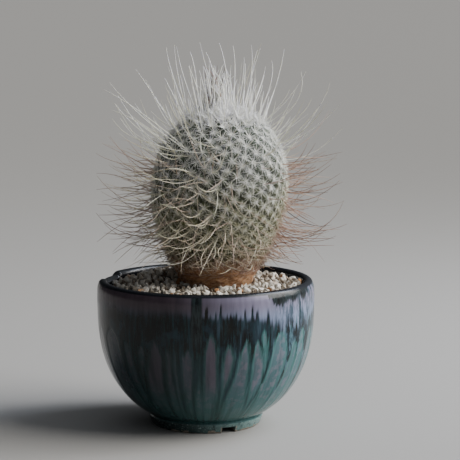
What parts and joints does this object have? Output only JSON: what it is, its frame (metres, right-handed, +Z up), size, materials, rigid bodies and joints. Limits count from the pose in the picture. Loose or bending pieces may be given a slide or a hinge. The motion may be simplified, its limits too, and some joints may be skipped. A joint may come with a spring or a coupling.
{
  "type": "potted twin-spined cactus",
  "caption": "Round cactus with long white spines, standing in pumice grit in a drip-glazed stoneware bowl on a low foot ring.",
  "frame": {"origin": "at the foot's level, under the middle of the plant's outline with its spines; the bowl's axis is 9.0 mm towards -X and 0.4 mm towards -Y of it", "axes": "+Z up, away from the foot; +X to the picture's right, +Y away from its camera"},
  "size_m": [0.1396, 0.144, 0.2118],
  "materials": {
    "glaze": "gloss",
    "net": "satin",
    "grit": "matte",
    "cactus": "matte"
  },
  "bodies": {
    "root": {"glazed_bowl": "glaze", "drain_net": "net", "pumice_grit": "grit", "cactus": "cactus"}
  },
  "joints": []
}
